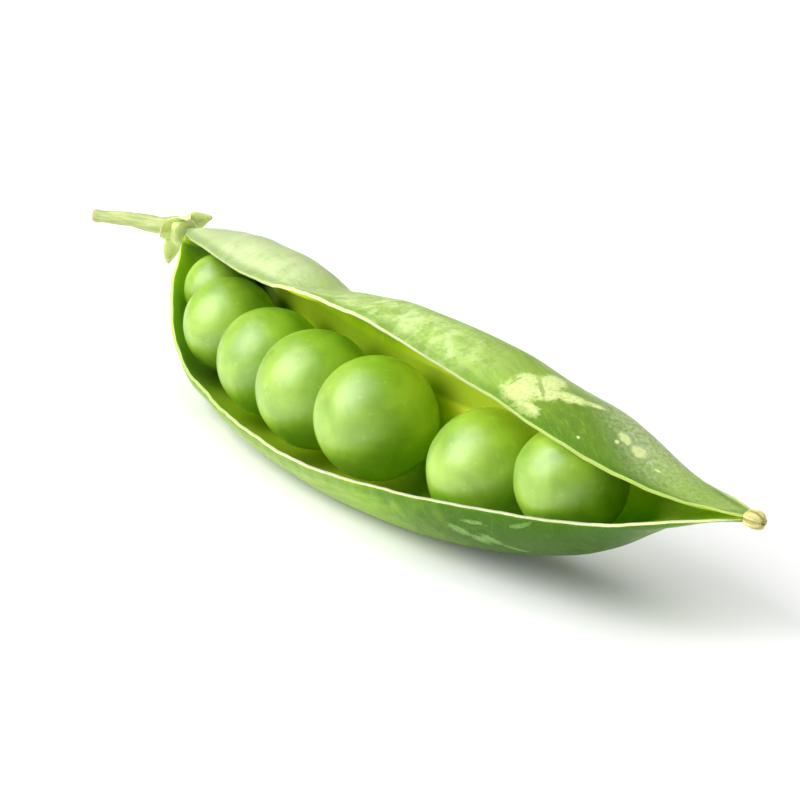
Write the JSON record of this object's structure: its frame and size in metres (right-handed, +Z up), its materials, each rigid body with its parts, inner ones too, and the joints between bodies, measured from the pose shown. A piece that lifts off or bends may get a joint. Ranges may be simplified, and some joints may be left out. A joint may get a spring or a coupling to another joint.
{
  "type": "pea pod",
  "caption": "Fresh garden pea pod split open along its front, lying on its belly, with round peas in a row inside, a curved stalk at one end and a pointed tip.",
  "frame": {"origin": "on the surface the pod rests on, under the middle of the whole pod with its stalk", "axes": "+X from the stalk to the pointed tip, +Y towards the closed back seam, +Z up; the pod opens towards -Y"},
  "size_m": [0.1013, 0.0174, 0.0168],
  "materials": {
    "pod_wall": "waxy green skin, satin, with a paler bloom, fine slanting veins and a cream edge line",
    "pea_skin": "smooth moist green skin, soft gloss",
    "stalk_skin": "pale green, satin, faintly ribbed",
    "calyx_skin": "pale green, matt, with drying pinkish tan sepal tips",
    "dried_style": "dry straw yellow, matt, puckered"
  },
  "bodies": {
    "root": {"pod_shell": "pod_wall", "pea_1": "pea_skin", "pea_2": "pea_skin", "pea_3": "pea_skin", "pea_4": "pea_skin", "pea_5": "pea_skin", "pea_6": "pea_skin", "pea_7": "pea_skin", "calyx": "calyx_skin", "stalk": "stalk_skin", "style_tip": "dried_style"}
  },
  "joints": []
}
